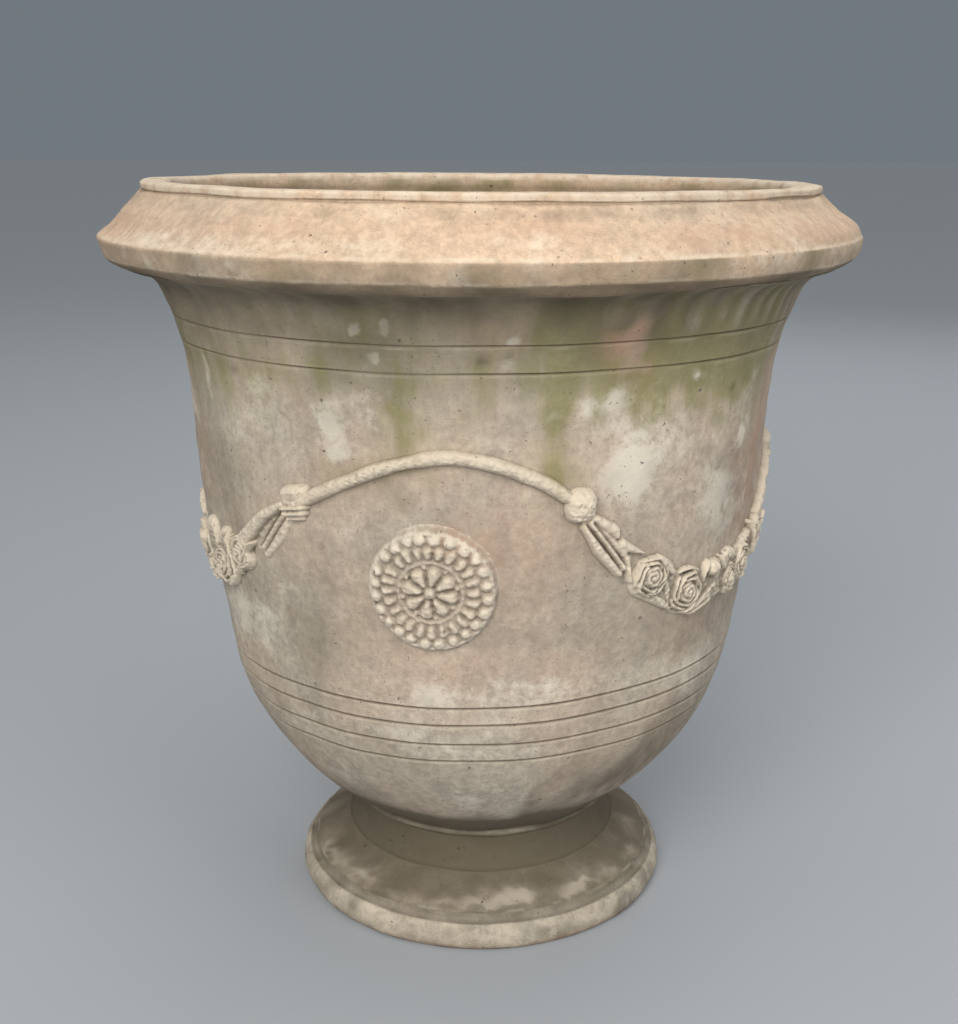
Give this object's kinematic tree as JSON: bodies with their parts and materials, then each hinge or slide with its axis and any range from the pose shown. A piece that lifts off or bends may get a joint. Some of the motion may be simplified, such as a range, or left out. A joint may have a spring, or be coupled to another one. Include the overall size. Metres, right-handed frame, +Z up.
{
  "type": "garden urn",
  "caption": "Large hand-thrown terracotta planter on a pedestal foot: bell-shaped wall, angular collar, turned grooves, luted medallions, arched cords and rose garlands.",
  "frame": {"origin": "on the floor, under the middle of the foot", "axes": "+Z up along the turning axis; medallion_1 faces -Y"},
  "size_m": [0.5862, 0.5862, 0.585],
  "materials": {
    "body_clay": "dry unglazed terracotta, grey-beige patina with algae runs, lime bloom and fine pits",
    "collar_clay": "dry unglazed terracotta, pinkish cream with lime patches, grey-green mottling on the band",
    "foot_clay": "dry unglazed terracotta, dark grime in the cove and groove, cream where worn",
    "joint_clay": "luting coil, dark with grime",
    "medallion_clay": "pressed relief, cream on the high points, dark in the hollows",
    "cord_clay": "rolled clay cord, pale on top, dirty underneath",
    "knot_clay": "pressed knot, pale on top",
    "leaf_clay": "pressed leaves, cream ridges, grey hollows",
    "flower_clay": "pressed roses and buds, cream ridges, dark hollows"
  },
  "bodies": {
    "root": {"foot": "foot_clay", "neck_bead": "joint_clay", "body": "body_clay", "collar": "collar_clay", "medallion_1": "medallion_clay", "arch_cord_1": "cord_clay", "flower_swag_1": "flower_clay", "boss_1_left": "knot_clay", "leaf_spray_1_left": "leaf_clay", "boss_1_right": "knot_clay", "leaf_spray_1_right": "leaf_clay", "medallion_2": "medallion_clay", "arch_cord_2": "cord_clay", "flower_swag_2": "flower_clay", "boss_2_left": "knot_clay", "leaf_spray_2_left": "leaf_clay", "boss_2_right": "knot_clay", "leaf_spray_2_right": "leaf_clay", "medallion_3": "medallion_clay", "arch_cord_3": "cord_clay", "flower_swag_3": "flower_clay", "boss_3_left": "knot_clay", "leaf_spray_3_left": "leaf_clay", "boss_3_right": "knot_clay", "leaf_spray_3_right": "leaf_clay"}
  },
  "joints": []
}
